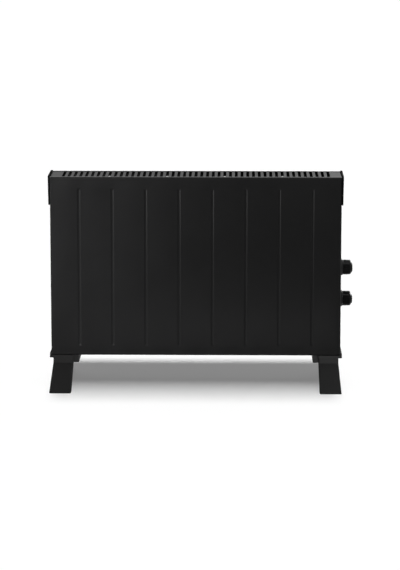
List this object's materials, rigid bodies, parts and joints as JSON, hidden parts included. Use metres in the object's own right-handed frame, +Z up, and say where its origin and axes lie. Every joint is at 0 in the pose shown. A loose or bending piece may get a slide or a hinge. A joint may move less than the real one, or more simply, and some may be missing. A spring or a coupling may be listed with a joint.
{
  "type": "convector heater",
  "caption": "Free-standing electric convector heater: flat black steel casing with pressed grooves, slotted top outlet, moulded splayed feet and rotary knobs on one end.",
  "frame": {"origin": "floor level, under the middle of the whole heater with its knobs", "axes": "+X along the width towards the knobs, +Y from the front to the rear, +Z up"},
  "size_m": [0.7131, 0.262, 0.5015],
  "materials": {
    "panel_paint": "satin black powder coat",
    "cap_plastic": "fine moulded texture",
    "foot_plastic": "fine moulded texture",
    "knob_plastic": "semi-gloss moulding",
    "dial_plastic": "satin moulding",
    "pointer_paint": "white inlay",
    "pad_rubber": "matt",
    "black_zinc": "black zinc",
    "bright_zinc": "zinc plated",
    "bare_steel": "galvanised",
    "element_aluminium": "mill finish",
    "element_ceramic": null,
    "terminal_brass": "plain",
    "control_plastic": "thermoset moulding",
    "gland_plastic": "nylon",
    "wire_brown": "silicone sleeve",
    "wire_red": "silicone sleeve",
    "wire_blue": "silicone sleeve",
    "wire_green": "silicone sleeve"
  },
  "bodies": {
    "casing": {"front_panel": "panel_paint", "rear_panel": "panel_paint", "top_grille": "panel_paint", "bottom_grille": "panel_paint", "side_panel_left": "panel_paint", "side_panel_right": "panel_paint", "end_cap_left": "cap_plastic", "end_cap_right": "cap_plastic", "foot_left": "foot_plastic", "foot_right": "foot_plastic", "thermostat_dial": "dial_plastic", "selector_dial": "dial_plastic", "foot_pads": "pad_rubber", "case_screws": "black_zinc", "foot_screws": "black_zinc", "cap_screws": "bright_zinc", "control_screws": "bright_zinc", "grille_clips": "bright_zinc", "element_bracket": "bare_steel", "heat_shield": "bare_steel", "heating_element_lower": "element_aluminium", "heating_element_upper": "element_aluminium", "element_bushes": "element_ceramic", "element_terminals": "terminal_brass", "thermostat_body": "control_plastic", "selector_body": "control_plastic", "thermal_cutout": "control_plastic", "terminal_block": "control_plastic", "cable_gland": "gland_plastic", "wire_live": "wire_brown", "wire_switched": "wire_red", "wire_neutral": "wire_blue", "wire_earth": "wire_green"},
    "thermostat": {"thermostat_knob": "knob_plastic", "thermostat_pointer": "pointer_paint", "thermostat_shaft": "bright_zinc"},
    "selector": {"selector_knob": "knob_plastic", "selector_pointer": "pointer_paint", "selector_shaft": "bright_zinc"}
  },
  "joints": [
    {"name": "thermostat_turn", "type": "hinge", "parent": "casing", "child": "thermostat", "pos_m": [0.33355, 0, 0.2785], "axis": [-1, 0, 0], "range_deg": [0, 270]},
    {"name": "selector_turn", "type": "hinge", "parent": "casing", "child": "selector", "pos_m": [0.33355, 0, 0.204], "axis": [-1, 0, 0], "range_deg": [0, 180]}
  ]
}
